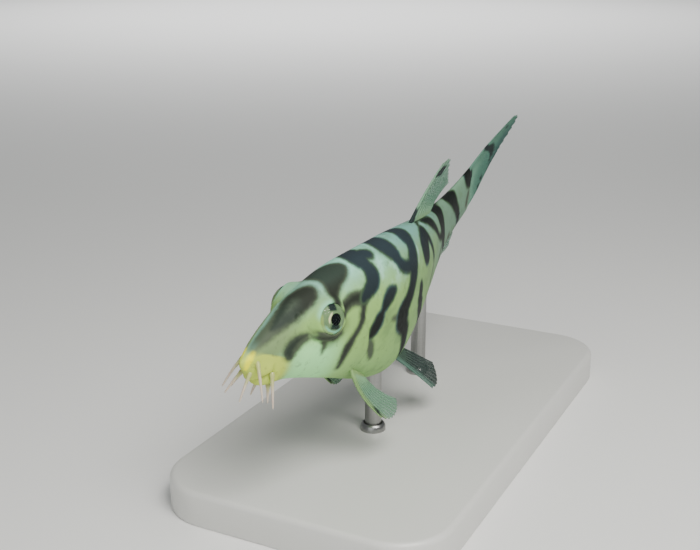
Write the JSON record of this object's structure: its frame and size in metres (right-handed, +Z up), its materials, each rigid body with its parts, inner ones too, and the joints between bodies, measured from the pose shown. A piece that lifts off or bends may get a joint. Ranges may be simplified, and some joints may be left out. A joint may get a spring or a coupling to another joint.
{
  "type": "yoyo loach model on a display stand",
  "caption": "Still, life-size model of a yoyo loach, a small barred bottom fish with whisker-like barbels, held by two short rods on a flat base.",
  "frame": {"origin": "centre of the flat underside of the display stand's base", "axes": "+Z up; the fish heads towards -X with its left side towards -Y; X is the longest extent"},
  "size_m": [0.0929, 0.042, 0.044],
  "materials": {
    "skin": "wet fish skin: pale greenish cream with blue-black bars, brown head marks and a yellow mouth",
    "fins": "thin translucent grey-green fin webs with pale rays and dark spots",
    "barbels": "soft pinkish feelers, yellow at the root",
    "eyes": "clear wet eye with a black pupil in a thin cream ring",
    "stand_base": "plain satin off-white lacquer",
    "stand_rods": "fine brushed steel"
  },
  "bodies": {
    "root": {"head": "skin", "trunk": "skin", "tail_stem": "skin", "eye_left": "eyes", "eye_right": "eyes", "dorsal_fin": "fins", "anal_fin": "fins", "tail_fin": "fins", "pectoral_fin_left": "fins", "pectoral_fin_right": "fins", "pelvic_fin_left": "fins", "pelvic_fin_right": "fins", "rostral_inner_barbel_left": "barbels", "rostral_inner_barbel_right": "barbels", "rostral_outer_barbel_left": "barbels", "rostral_outer_barbel_right": "barbels", "maxillary_barbel_left": "barbels", "maxillary_barbel_right": "barbels", "mandibular_barbel_left": "barbels", "mandibular_barbel_right": "barbels", "stand_base": "stand_base", "stand_rod_front": "stand_rods", "stand_rod_rear": "stand_rods"}
  },
  "joints": []
}
